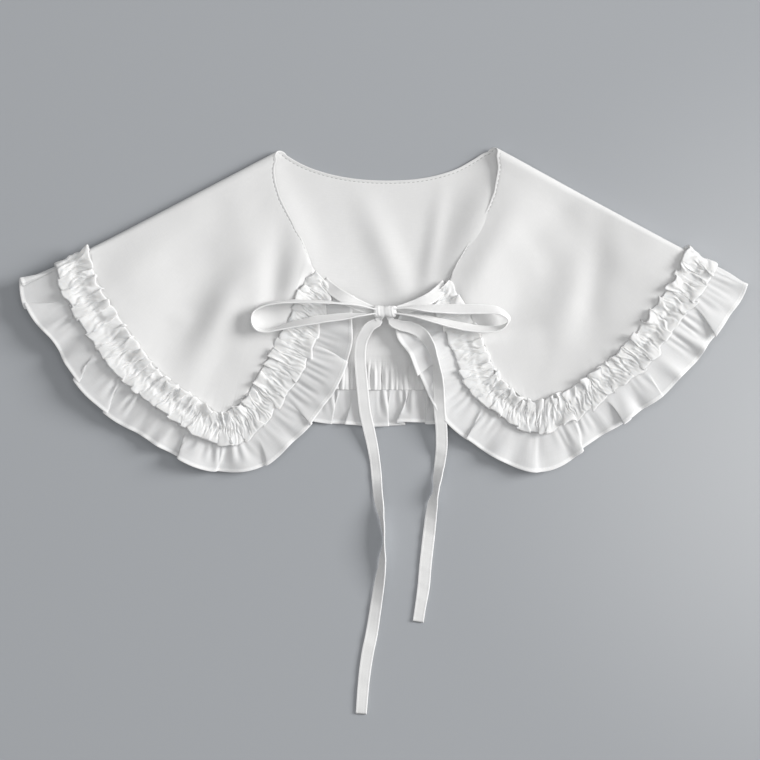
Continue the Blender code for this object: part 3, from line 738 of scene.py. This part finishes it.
def make_panel(shift):
    lines = collar_lines(PANEL_STEPS)
    shares = np.unique([*edge_rows(38, 0.004)[:-2], *PANEL_STITCH_ROWS])
    shares = np.append(shares, 1.0)
    band = edge_rows(12, 0.02)
    grid = panel_surface(lines, shares, band)
    _, face, _, run = seam_frame(lines)
    under = lines["under"]
    x, y = grid[..., 0], grid[..., 1]
    in_band = np.ones(len(band) - 1)
    rows = np.concatenate([shares * INNER_ROW, INNER_ROW + band[1:]])
    free = np.sin(np.pi * np.concatenate([shares, in_band])) ** 0.5
    sway = sum(high * cloud(x / long_x + 9, y / long_y + 9, seed) for high, long_x, long_y, seed in SWAYS)
    sway = sway * free[None, :]

    pucker = 0.5 * ripple(run, PUCKER_PITCH, 3)[:, None]
    pucker = pucker + cloud(run[:, None] / PUCKER_GRAIN, rows * 1.2, 4)
    depth = FLAP_PUCKER + BACK_PUCKER * under[:, None] * (np.abs(x) < PUCKERED_BACK)
    inside = np.concatenate([smoothstep(0.90, 1.0, shares) ** 2 * 0.6, in_band])
    smooth_back = 1 - smoothstep(INNER_ROW + 0.10, INNER_ROW + 0.45, rows)
    inside = inside[None, :] * (1 - under[:, None] * smooth_back[None, :])
    grid = grid + face[:, None, :] * (pucker * depth * inside)[..., None]

    pressed = np.exp(-(((rows / INNER_ROW - NECK_STITCH_SHARE) / GROOVE_SHARE) ** 2))
    folded = 1 - smoothstep(0.6, 1.0, rows / INNER_ROW / NECK_STITCH_SHARE)
    lip = (NECK_LIP * folded - NECK_GROOVE * pressed) * (1 - 2 * under[:, None]) ** 3
    grid = grid + face[:, None, :] * lip[..., None]

    wavering = 0.10 * cloud(run / CRIMP_EDGE_PITCH, 0.5, 7)[:, None]
    header = smoothstep(INNER_ROW + 0.24, INNER_ROW + 0.40, rows[None, :] + wavering)
    teeth = 1 - 2.2 * np.abs(cloud(run[:, None] / CRIMP_PITCH, rows[None, :] * 0.9, 8))
    between_flaps = 1 - smoothstep(*CRIMP_FADES, np.abs(grid[..., 0]))
    low_at_seam = 1 - 0.5 * smoothstep(INNER_ROW + 0.7, INNER_ROW + 1, rows)
    crimped = header * (CRIMP_HEIGHT + CRIMP_TEETH * teeth) * low_at_seam
    grid[..., 2] += crimped * between_flaps * under[:, None]
    grid[..., 2] += sway * (1 - 0.4 * under)[:, None]

    across = np.linalg.norm(np.diff(grid, axis=1), axis=2)
    across = np.concatenate([np.zeros((len(grid), 1)), np.cumsum(across, axis=1)], axis=1)
    cut = np.stack([np.broadcast_to(run[:, None], across.shape), across], axis=-1)
    made = cloth_object("collar_panel_cloth", grid + shift, PANEL_CLOTH, cut)
    upright = grid_normals(grid) * (1 - 2 * under[:, None, None])
    row = int(np.argmin(np.abs(shares - NECK_STITCH_SHARE)))
    line = grid[:, row] + upright[:, row] * PANEL_CLOTH * 0.5
    return made, make_stitches(line + shift, upright[:, row])


def ruffle_surface(lines, rows):
    along, face, away, run = seam_frame(lines)
    w = rows[None, :]
    under = lines["under"][:, None]
    opened = w**1.1
    slide, lift, push = overlaps(run, ruffle_folds(lines, run), w, FOLD_LENGTH * (1 - 0.35 * under))
    reach = lines["reach"][:, None]
    uneven = 1 + 0.03 * ripple(run, 0.03, 11)[:, None]
    out = -RUFFLE_TUCK + w * (reach + RUFFLE_TUCK) * uneven + push * w**1.5
    base = lines["seam"][:, None, :] + away[:, None, :] * out[..., None]
    base[..., 2] = lines["seam"][:, None, 2] * (1 - w) + lines["hem_level"][:, None] * w
    (high, length, seed), (wave_high, wave_length, wave_seed) = RUFFLE_WAVES
    fan = high * cloud(run[:, None] / length, w * 0.9, seed)
    fan = fan + wave_high * ripple(run, wave_length, wave_seed)[:, None]
    fading = np.sin(np.pi * np.minimum(w * 1.12 + 0.12, 1))
    gathers = GATHER_HEIGHT * ripple(run, GATHER_PITCH, 12)[:, None] * fading
    patches = smoothstep(-0.5, 0.7, cloud(run / GATHER_PATCH, 0.3, 15))[:, None]
    gathers = gathers * patches * (1 + 1.2 * under)
    lift = ((lift + fan) * opened + gathers) * (1 - 0.3 * under)
    slid = along[:, None, :] * (slide * opened)[..., None]
    return base + slid + face[:, None, :] * lift[..., None], run


def ruffle_folds(lines, run):
    """The ruffle's folds, with their places along the seam worked out from those in the tables."""
    folds = []
    for section, place, *shape in RUFFLE_FOLDS:
        mask = lines["section"] == section
        at = np.interp(place, *sorted_pair(lines["place"][mask], run[mask]))
        folds.append((at, *(np.asarray(shape) / 1000)))
    return folds


def random_folds(length, pitch, seed, overlap, height):
    """Folds about a pitch apart, some lapping one way and some the other."""
    random = np.random.default_rng(seed)
    places = np.cumsum(pitch * random.uniform(0.5, 1.5, int(length / pitch) + 8))
    return [
        (place, overlap * random.uniform(0.6, 1.3), height * random.uniform(0.5, 1.3) * sign,
         random.uniform(-0.2, 0.2) * pitch, 0.0008 * random.uniform(-1, 1))
        for place, sign in zip(places[places < length], random.choice((-1, 1), len(places)))
    ]


def sorted_pair(places, values):
    order = np.argsort(places)
    return places[order], values[order]


def make_ruffle(shift):
    lines = collar_lines(RUFFLE_STEPS)
    rows = np.concatenate([np.linspace(0, 0.86, 20), [0.885, 0.915, 0.945, 0.97, 0.985, 0.995, 1.0]])
    grid, run = ruffle_surface(lines, rows)
    floor = RUFFLE_CLOTH / 2 + FLOOR_GAP + 0.0003 * (rows > 0.86)
    grid[..., 2] = np.maximum(grid[..., 2], floor[None, :])
    from_hem = (1 - rows[None, :]) * lines["reach"][:, None]
    in_hem = 1 - smoothstep(HEM_WIDTH * 0.85, HEM_WIDTH * 1.1, from_hem)
    thickness = RUFFLE_CLOTH + (HEM_CLOTH - RUFFLE_CLOTH) * in_hem
    rounding = np.sqrt(np.clip(1 - (1 - from_hem / (HEM_CLOTH / 2)).clip(0, 1) ** 2, 0, 1))
    cut = np.stack(
        np.broadcast_arrays(run[:, None] * RUFFLE_WEAVE, rows[None, :] * RUFFLE_REACH), axis=-1
    )
    return cloth_object("outer_ruffle_cloth", grid + shift, thickness * rounding, cut)


def make_ruche(shift):
    lines = collar_lines(RUCHE_STEPS)
    along, face, _, run = seam_frame(lines)
    rows = np.linspace(0, 1, 25)
    t = 2 * rows[None, :] - 1
    under = lines["under"][:, None]
    u = run[:, None]
    middle = np.exp(-(((t + 0.1) / 0.60) ** 2))
    near_inner, near_outer = smoothstep(0.1, 1, -t), smoothstep(0.2, 1, t)
    warped = u + 0.0020 * cloud(u / 0.008, rows * 2.2, 41) + 0.0010 * cloud(u / 0.004, rows * 5, 49)
    high, length, seed = RUCHE_CREASE
    crease = high * (0.9 - 2.6 * np.abs(cloud(warped / length, rows * 3.0 + u / 0.03, seed)))
    high, length, seed = RUCHE_FINE_CREASE
    fine = high * (0.6 - 2.0 * np.abs(cloud(warped / length, rows * 4.6 + u / 0.02, seed)))
    high, length, seed = RUCHE_SWELL
    soft = high * cloud(warped / length, rows * 2.2, seed)
    profile = np.interp(t, RUCHE_PROFILE_AT, RUCHE_PROFILE)
    on_front = (lines["section"] != BACK_SECTION) * (1 - smoothstep(3.0, 6.0, lines["place"]))
    profile = profile * (1 - 0.55 * on_front[:, None] * smoothstep(0.0, 0.4, t))
    turn = [run[lines["section"] == k].mean() for k in FOLD_SECTIONS]
    at_fold = sum(np.exp(-(((u - place) / 0.009) ** 2)) for place in turn)
    tall = (1 - 0.75 * under) * (1 + 0.7 * at_fold)
    slide, lift, push, wave, scallop = 0, 0, 0, 0, 0
    for near, (seed, pitch, overlap, high), waves, scallops in zip(
        (near_inner, near_outer), RUCHE_FOLDS, RUCHE_EDGE_WAVES, RUCHE_SCALLOPS
    ):
        folds = random_folds(run[-1], pitch, seed, overlap, high)
        folded = overlaps(run, folds, np.abs(t), RUCHE_FOLD_LENGTH)
        slide, lift, push = (a + b * near for a, b in zip((slide, lift, push), folded))
        high, length, seed = waves
        wave = wave + high * ripple(run, length, seed)[:, None] * near
        high, length, seed = scallops
        scallop = scallop + high * ripple(run, length, seed)[:, None] * near
    height = (crease + fine) * (0.3 + 0.7 * middle) + soft + profile + lift + wave
    lift = PANEL_CLOTH / 2 + RUCHE_CLOTH / 2 + 0.0003 + np.maximum(height, 0) * tall
    width = np.linalg.norm(lines["seam"] - lines["inner"], axis=1)[:, None]
    share = rows[None, :] * (1 + RUCHE_OVERHANG / width) + (push * t - scallop) / width
    inner, seam = lines["inner"][:, None, :], lines["seam"][:, None, :]
    sideways = RUCHE_SIDEWAYS * cloud(u / 0.0042, rows * 2.4, 48)
    slide = slide + sideways * (1 - 0.5 * np.abs(t))
    grid = inner * (1 - share[..., None]) + seam * share[..., None]
    grid = grid + face[:, None, :] * lift[..., None] + along[:, None, :] * (slide * tall)[..., None]
    grid[..., 2] = np.maximum(grid[..., 2], RUCHE_CLOTH / 2 + FLOOR_GAP)
    cut = np.stack(np.broadcast_arrays(u * RUCHE_WEAVE, rows[None, :] * RUCHE_WIDTH), axis=-1)
    thickness = RUCHE_CLOTH * (1 + 0.9 * smoothstep(0.93, 0.96, np.abs(t)))
    return cloth_object("ruche_cloth", grid + shift, thickness, cut)


def make_stitches(line, up):
    """Small stitches along a line of points, as one mesh of low beads."""
    run = run_along(line)
    places = np.arange(STITCH_PITCH, run[-1] - STITCH_PITCH, STITCH_PITCH)

    def read(rows, at):
        return np.stack([np.interp(at, run, column) for column in rows.T], axis=1)

    centre, top = read(line, places), unit(read(up, places))
    along = unit(read(line, places + 0.0005) - centre)
    side = np.cross(along, top)
    centre, along, side, top = (rows[:, None, None] for rows in (centre, along, side, top))
    step, share = (np.asarray(column)[:, None, None] for column in zip(*STITCH_RINGS))
    angle = 2 * np.pi * np.arange(STITCH_SIDES)[:, None] / STITCH_SIDES
    around = side * np.cos(angle) * STITCH_SPREAD + top * np.sin(angle)
    points = centre + along * STITCH_LENGTH * step + around * STITCH_RADIUS * share

    corners = np.arange(len(STITCH_RINGS) * STITCH_SIDES).reshape(-1, STITCH_SIDES)
    after = np.roll(corners, -1, axis=1)
    walls = np.stack([corners[:-1], after[:-1], after[1:], corners[1:]], axis=-1)
    bead = [*walls.reshape(-1, 4).tolist(), corners[0, ::-1].tolist(), corners[-1].tolist()]
    faces = [[k * corners.size + c for c in face] for k in range(len(places)) for face in bead]
    return add_object("neck_stitches", points.reshape(-1, 3), faces)


def tape_route(side, lead, loop, tail):
    """One tie from the neck end through the knot, round its loop, through the knot and down its tail."""
    def placed(rows):
        return [(side * x, *rest) for x, *rest in rows]

    rows = [*lead, *placed(LEAD_TO_LOOP), *loop, *placed(LOOP_TO_TAIL), *tail]
    table = np.asarray(rows, float)
    table[:, :3] /= 1000
    return table


def make_tie(name, table, shift, seed):
    fine = smooth_rows(table, np.linspace(0, len(table) - 1, 4000))
    run = run_along(fine[:, :3])
    at = np.linspace(0, run[-1], round(run[-1] / TAPE_STEP) + 1)
    row = {key: np.interp(at, run, column) for key, column in zip(ROUTE_COLUMNS, fine.T)}
    line = np.stack([row["x"], row["y"], row["z"]], axis=1)
    along = unit(np.gradient(line, axis=0))
    level = unit(np.cross((0, 0, 1), along))
    upright = np.cross(along, level)
    turn = np.radians(row["tilt"])[:, None]
    side = level * np.cos(turn) + upright * np.sin(turn)
    face = np.cross(along, side)
    half = (row["width"] * TAPE_WIDTH / 2)[:, None]
    to_edge = np.asarray(TAPE_ROWS)
    across = np.concatenate([-to_edge[::-1], [0.0], to_edge])
    crinkle = TAPE_CRINKLE * ripple(at, TAPE_CRINKLE_PITCH, seed)[:, None] * across[None, :]
    grid = line[:, None, :] + side[:, None, :] * (half * across[None, :])[..., None]
    grid = grid + face[:, None, :] * crinkle[..., None]
    grid[..., 2] = np.maximum(grid[..., 2], TAPE_CLOTH / 2 + 0.0001)
    hemmed = 0.75 + 0.25 * smoothstep(*TAPE_HEM_FROM, np.abs(across))
    past_edge = ((np.abs(across) - TAPE_EDGE_FROM) / (1 - TAPE_EDGE_FROM)).clip(0, 1)
    round_edge = np.sqrt(np.clip(1 - past_edge**2, 0, 1))
    thickness = TAPE_CLOTH * hemmed * np.maximum(round_edge, 0.05)
    cut = np.stack(np.broadcast_arrays(at[:, None], across[None, :] * TAPE_WIDTH / 2), axis=-1)
    made = cloth_object(name, grid + shift, thickness[None, :], cut)
    return made, line + shift, run[-1]


def make_knot(shift):
    """Tape wound round the bow's middle, squared off, with its edges and creases running round it."""
    around = 72
    share = np.concatenate([[-1, -0.99], np.linspace(-0.96, 0.96, 45), [0.99, 1]])
    u = np.linspace(0, 2 * np.pi, around, endpoint=False)[:, None]
    size = np.asarray(KNOT_SIZE) / 2
    profile = np.interp(np.abs(share), KNOT_PROFILE_AT, KNOT_PROFILE)
    skew = share[None, :] + 0.16 * np.sin(u + 0.6)
    crease = 1 - 0.10 * np.abs(cloud(skew * 3.4 + 9, u * 0.7 + 3, 61))
    crease = crease - 0.045 * np.exp(-((skew / 0.14) ** 2))
    crease = crease - 0.03 * np.exp(-(((np.abs(skew) - 0.62) / 0.06) ** 2))
    y = np.sign(np.cos(u)) * np.abs(np.cos(u)) ** KNOT_BLUNT * profile * crease
    z = np.sign(np.sin(u)) * np.abs(np.sin(u)) ** KNOT_BLUNT * profile * crease
    x = np.broadcast_to(share, y.shape)
    points = np.stack([x, y, z], axis=-1) * size + np.asarray(KNOT_PLACE) + shift
    index = np.arange(y.size).reshape(y.shape)
    after = np.roll(index, -1, axis=0)
    corners = np.stack([index[:, :-1], after[:, :-1], after[:, 1:], index[:, 1:]], axis=-1)
    faces = corners.reshape(-1, 4).tolist() + [index[:, 0].tolist(), index[::-1, -1].tolist()]
    cut = np.stack(np.broadcast_arrays(u * size[1], x * size[0]), axis=-1).reshape(-1, 2)
    return add_object("tie_knot_cloth", points.reshape(-1, 3), faces, cut)


# Materials

def new_material(name, roughness):
    material = bpy.data.materials.new(name)
    material.use_nodes = True
    shader = material.node_tree.nodes["Principled BSDF"]
    shader.inputs["Roughness"].default_value = roughness
    return material, material.node_tree, shader


def wired(tree, kind, inputs, **settings):
    """A new node of a kind, with inputs, by name or number, from values or other nodes' outputs."""
    node = tree.nodes.new(kind)
    for name, value in settings.items():
        setattr(node, name, value)
    for slot, value in inputs.items():
        if isinstance(value, bpy.types.NodeSocket):
            tree.links.new(value, node.inputs[slot])
        else:
            node.inputs[slot].default_value = value
    return node


def mixed(tree, share, first, second):
    inputs = {"Factor": share, "A": first, "B": second}
    return wired(tree, "ShaderNodeMix", inputs, data_type="RGBA").outputs["Result"]


def bumped(tree, height, strength, distance):
    inputs = {"Height": height, "Strength": strength, "Distance": distance}
    return wired(tree, "ShaderNodeBump", inputs).outputs[0]


def cloth_material(name, colour, sheer, hems=None, crinkle=0.0, glow=0.0):
    """Plain woven cotton by its cut's own UVs in metres: a fine weave with slubs along both threads, and
    hems that are whiter, being double. hems gives the cut's lowest and highest V and the hem's width."""
    material, tree, shader = new_material(name, CLOTH_ROUGHNESS)
    for slot, value in CLOTH_SHINE:
        shader.inputs[slot].default_value = value
    shader.inputs["Subsurface Weight"].default_value = glow
    uv = tree.nodes.new("ShaderNodeTexCoord").outputs["UV"]
    u, v, _ = wired(tree, "ShaderNodeSeparateXYZ", {0: uv}).outputs

    def math(kind, *values):
        return wired(tree, "ShaderNodeMath", dict(enumerate(values)), operation=kind).outputs[0]

    def ranged(value, low, high):
        inputs = {"Value": value, "From Min": low, "From Max": high}
        return wired(tree, "ShaderNodeMapRange", inputs).outputs[0]

    def noise(stretch_u, stretch_v, scale, detail=3):
        at = wired(tree, "ShaderNodeMapping", {"Vector": uv, "Scale": (stretch_u, stretch_v, 1)})
        inputs = {"Vector": at.outputs[0], "Scale": scale, "Detail": detail}
        return wired(tree, "ShaderNodeTexNoise", inputs).outputs[0]

    warp = math("SINE", math("MULTIPLY", u, 2 * np.pi / THREAD_PITCH))
    weft = math("SINE", math("MULTIPLY", v, 2 * np.pi / THREAD_PITCH))
    threads = math("ADD", noise(12, 1, 110), noise(1, 12, 110))
    tone = ranged(math("MULTIPLY_ADD", threads, 0.5, math("MULTIPLY", noise(1, 1, 25), 0.5)), 0.7, 1.3)
    height = math("MULTIPLY_ADD", math("MULTIPLY", warp, weft), 0.5, threads)
    if crinkle:
        height = math("MULTIPLY_ADD", noise(1, 0.22, 480, 4), crinkle, height)
    tint = mixed(tree, tone, (*(DARKER_THREADS * c for c in colour), 1), (*colour, 1))
    through = sheer
    if hems:
        low, high, width = hems
        inset = math("MINIMUM", math("SUBTRACT", v, low), math("SUBTRACT", high, v))
        doubled = ranged(inset, *(width * share for share in HEM_FADES))
        tint = mixed(tree, doubled, tint, HEM_WHITE)
        through = math("MULTIPLY_ADD", doubled, -0.6 * sheer, sheer)
        stitch_line = math("SUBTRACT", inset, width * HEM_STITCH_AT)
        near = ranged(math("ABSOLUTE", stitch_line), HEM_STITCH_WIDTH, 0.0)
        dash = ranged(math("PINGPONG", u, HEM_STITCH_PITCH), *HEM_STITCH_GAP)
        height = math("MULTIPLY_ADD", math("MULTIPLY", near, dash), -3.0, height)
    relief = bumped(tree, height, 0.30, 0.0001)
    tree.links.new(tint, shader.inputs["Base Color"])
    tree.links.new(relief, shader.inputs["Normal"])
    translucent = wired(tree, "ShaderNodeBsdfTranslucent", {"Color": tint, "Normal": relief})
    inputs = {0: through, 1: shader.outputs[0], 2: translucent.outputs[0]}
    blend = wired(tree, "ShaderNodeMixShader", inputs)
    tree.links.new(blend.outputs[0], tree.nodes["Material Output"].inputs["Surface"])
    return material


def floor_material():
    """Matt grey paper, with a painted pool of light that makes it paler at the right."""
    material, tree, shader = new_material("studio_floor", FLOOR_ROUGHNESS)
    place = tree.nodes.new("ShaderNodeTexCoord").outputs["Object"]
    # Painted pool of light: the grey turns paler towards the pool's middle
    distance = wired(tree, "ShaderNodeVectorMath", {0: place, 1: PAINTED_LIGHT_POOL_MIDDLE}, operation="DISTANCE")
    spread = {"Value": distance.outputs["Value"], "From Max": PAINTED_LIGHT_POOL_REACH, "To Min": 1.0, "To Max": 0.0}
    painted_light_pool = wired(tree, "ShaderNodeMapRange", spread, interpolation_type="SMOOTHSTEP")
    tree.links.new(mixed(tree, painted_light_pool.outputs[0], FLOOR_GREY, FLOOR_PAINTED_LIGHT_GREY), shader.inputs["Base Color"])
    grain = wired(tree, "ShaderNodeTexNoise", {"Vector": place, "Scale": FLOOR_GRAIN})
    tree.links.new(bumped(tree, grain.outputs[0], 0.12, 0.0002), shader.inputs["Normal"])
    return material


# Camera, floor and light

def make_stage(shift):
    x, y = (PHOTO_PIXELS / 2 - ORIGIN_PIXEL[0]) * PIXEL, (ORIGIN_PIXEL[1] - PHOTO_PIXELS / 2) * PIXEL
    camera = bpy.data.cameras.new("camera")
    camera.sensor_width = SENSOR_WIDTH
    camera.lens = SENSOR_WIDTH * CAMERA_HEIGHT / (PHOTO_PIXELS * PIXEL)
    view = bpy.data.objects.new("camera", camera)
    view.location = (x + shift[0], y + shift[1], CAMERA_HEIGHT)
    bpy.context.scene.collection.objects.link(view)
    bpy.context.scene.camera = view

    corners = np.array([(-1, -1, 0), (1, -1, 0), (1, 1, 0), (-1, 1, 0)]) * FLOOR_HALF
    floor = add_object("studio_floor", corners, [(0, 1, 2, 3)])
    floor.location.z = FLOOR_LEVEL
    floor.data.materials.append(floor_material())

    for name, place, size, watts, colour in LAMPS:
        lamp = bpy.data.lights.new(name, "AREA")
        lamp.size = size
        lamp.energy = watts
        lamp.color = colour
        lit = bpy.data.objects.new(name, lamp)
        lit.location = place
        lit.rotation_euler = aimed_along(-np.asarray(place))
        bpy.context.scene.collection.objects.link(lit)
    world = bpy.data.worlds.new("studio")
    world.use_nodes = True
    sky = world.node_tree.nodes["Background"]
    sky.inputs["Color"].default_value = (1.0, 1.0, 1.0, 1)
    sky.inputs["Strength"].default_value = SKY_STRENGTH
    bpy.context.scene.world = world
    bpy.context.scene.view_settings.view_transform = "Standard"


def aimed_along(direction):
    return Vector(direction).to_track_quat("-Z", "Y").to_euler()


def dress(piece, material, slot, *nodes):
    piece.data.materials.append(material)
    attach(piece, "root")
    if nodes:
        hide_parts(*nodes)


def frame_shift():
    """How far the tables' origin lies from the frame's, from where the panel's own node lies."""
    lines = collar_lines(PANEL_STEPS)
    surface = panel_surface(lines, np.linspace(0, 1, 12), np.linspace(0, 1, 4)).reshape(-1, 3)
    middle = (surface.min(axis=0) + surface.max(axis=0)) / 2
    low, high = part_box("collar_panel")
    return ((np.asarray(low) + np.asarray(high)) / 2 - middle) * (1, 1, 0)


SHIFT = frame_shift()
make_stage(SHIFT)

HALF_TAPE = TAPE_WIDTH / 2
RUFFLE_HEM = (-1, RUFFLE_REACH, HEM_WIDTH)
RUCHE_HEMS = (0, RUCHE_WIDTH, NARROW_HEM)
TAPE_HEMS = (-HALF_TAPE, HALF_TAPE, NARROW_HEM)
panel_cloth = cloth_material("panel_cloth", (0.898, 0.898, 0.897), sheer=0.04)
ruffle_cloth = cloth_material(
    "ruffle_cloth", (0.92, 0.922, 0.925), sheer=0.11, hems=RUFFLE_HEM, crinkle=1.0, glow=0.2
)
ruche_cloth = cloth_material(
    "ruche_cloth", (0.995, 0.993, 0.985), sheer=0.04, hems=RUCHE_HEMS, crinkle=2.2, glow=0.45
)
tape_cloth = cloth_material("tape_cloth", (0.95, 0.95, 0.948), sheer=0.06, hems=TAPE_HEMS)
# White thread coloured grey: painted shade of the sunk stitches and their needle holes
needle_hole_shade_thread = cloth_material("thread_with_painted_needle_hole_shade", (0.58, 0.58, 0.575), sheer=0.0)

knot = make_knot(SHIFT)
dress(knot, tape_cloth, "tape_cloth", "tie_knot")
for side, name, lead, loop, tail, seed in (
    (-1, "left_tie", LEFT_LEAD, LEFT_LOOP, LEFT_TAIL, 31),
    (1, "right_tie", RIGHT_LEAD, RIGHT_LOOP, RIGHT_TAIL, 32),
):
    tie, line, length = make_tie(f"{name}_tape", tape_route(side, lead, loop, tail), SHIFT, seed)
    dress(tie, tape_cloth, "tape_cloth", f"{name}_lead", f"{name}_loop", f"{name}_tail")

panel, neck_stitches = make_panel(SHIFT)
dress(panel, panel_cloth, "panel_cloth", "collar_panel")
dress(neck_stitches, needle_hole_shade_thread, "panel_cloth")
ruffle = make_ruffle(SHIFT)
dress(ruffle, ruffle_cloth, "ruffle_cloth", "outer_ruffle")
ruche = make_ruche(SHIFT)
dress(ruche, ruche_cloth, "ruche_cloth", "ruche")
